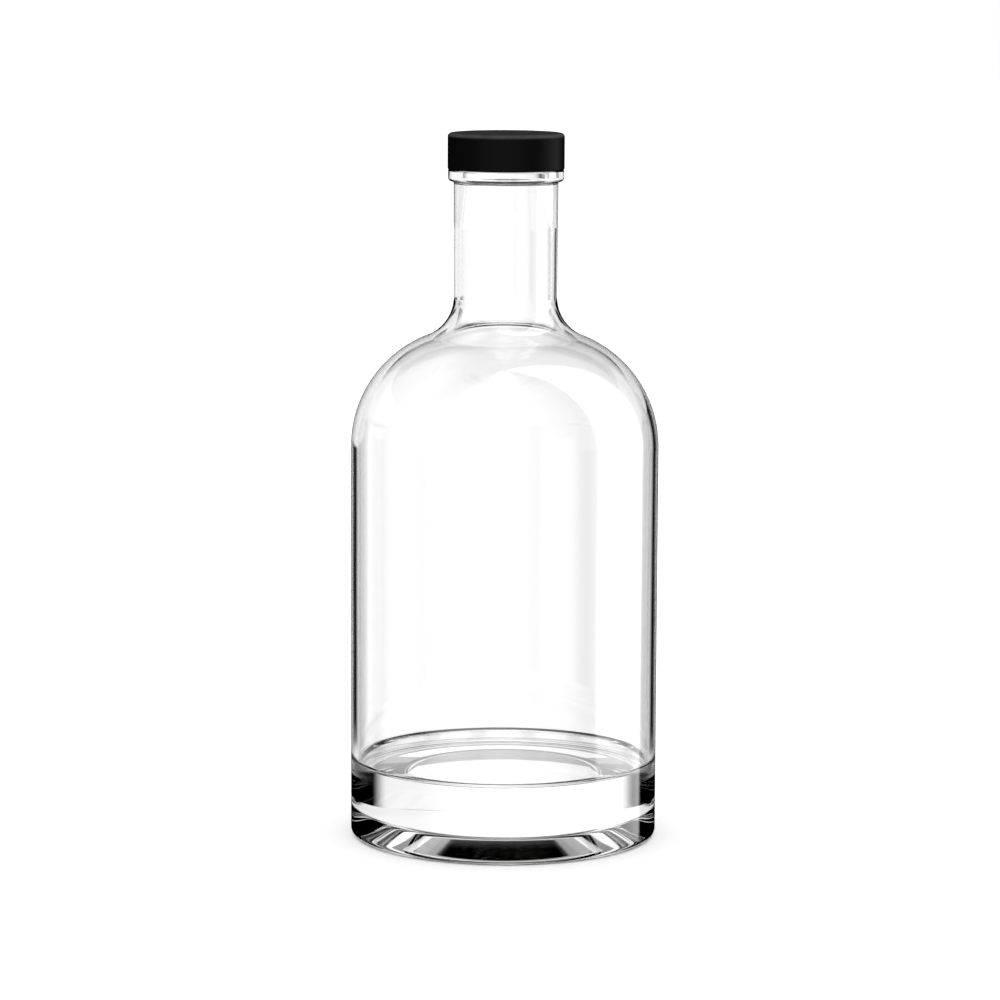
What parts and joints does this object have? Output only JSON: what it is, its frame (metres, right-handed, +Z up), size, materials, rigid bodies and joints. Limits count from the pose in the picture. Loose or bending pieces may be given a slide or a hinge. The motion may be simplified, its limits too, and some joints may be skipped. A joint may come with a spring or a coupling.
{
  "type": "glass bottle with screw cap",
  "caption": "Clear straight-sided glass bottle with a thick solid base, round shoulder, narrow neck and bead ring, closed by a low smooth black screw cap.",
  "frame": {"origin": "centre of the standing ring, on the surface the bottle stands on", "axes": "+Z up the bottle's axis towards the cap; +X to the side where the glass thread's foot begins"},
  "size_m": [0.094, 0.094, 0.216],
  "materials": {
    "flint_glass": "fire-polished clear flint glass, finely stippled on the standing ring",
    "black_lacquer": "drawn aluminium, satin black lacquer",
    "insert_plastic": "moulded black polypropylene, fine matt",
    "liner_foam": "white closed-cell foam",
    "liner_film": "thin white solid film, semi-gloss"
  },
  "bodies": {
    "bottle": {"bottle": "flint_glass"},
    "liner": {"liner_top_film": "liner_film", "liner_foam_core": "liner_foam", "liner_face_film": "liner_film"},
    "cap": {"cap_shell": "black_lacquer", "cap_insert": "insert_plastic"}
  },
  "joints": [
    {"name": "cap_rise", "type": "slide", "parent": "bottle", "child": "liner", "axis": [0, 0, 1], "range_m": [0, 0.0127]},
    {"name": "cap_turn", "type": "hinge", "parent": "liner", "child": "cap", "pos_m": [0, 0, 0.2105], "axis": [0, 0, 1], "range_deg": [0, 1080]}
  ],
  "couplings": [
    {"joint": "cap_rise", "follows": "cap_turn", "m_per_rad": 0.00067375}
  ]
}
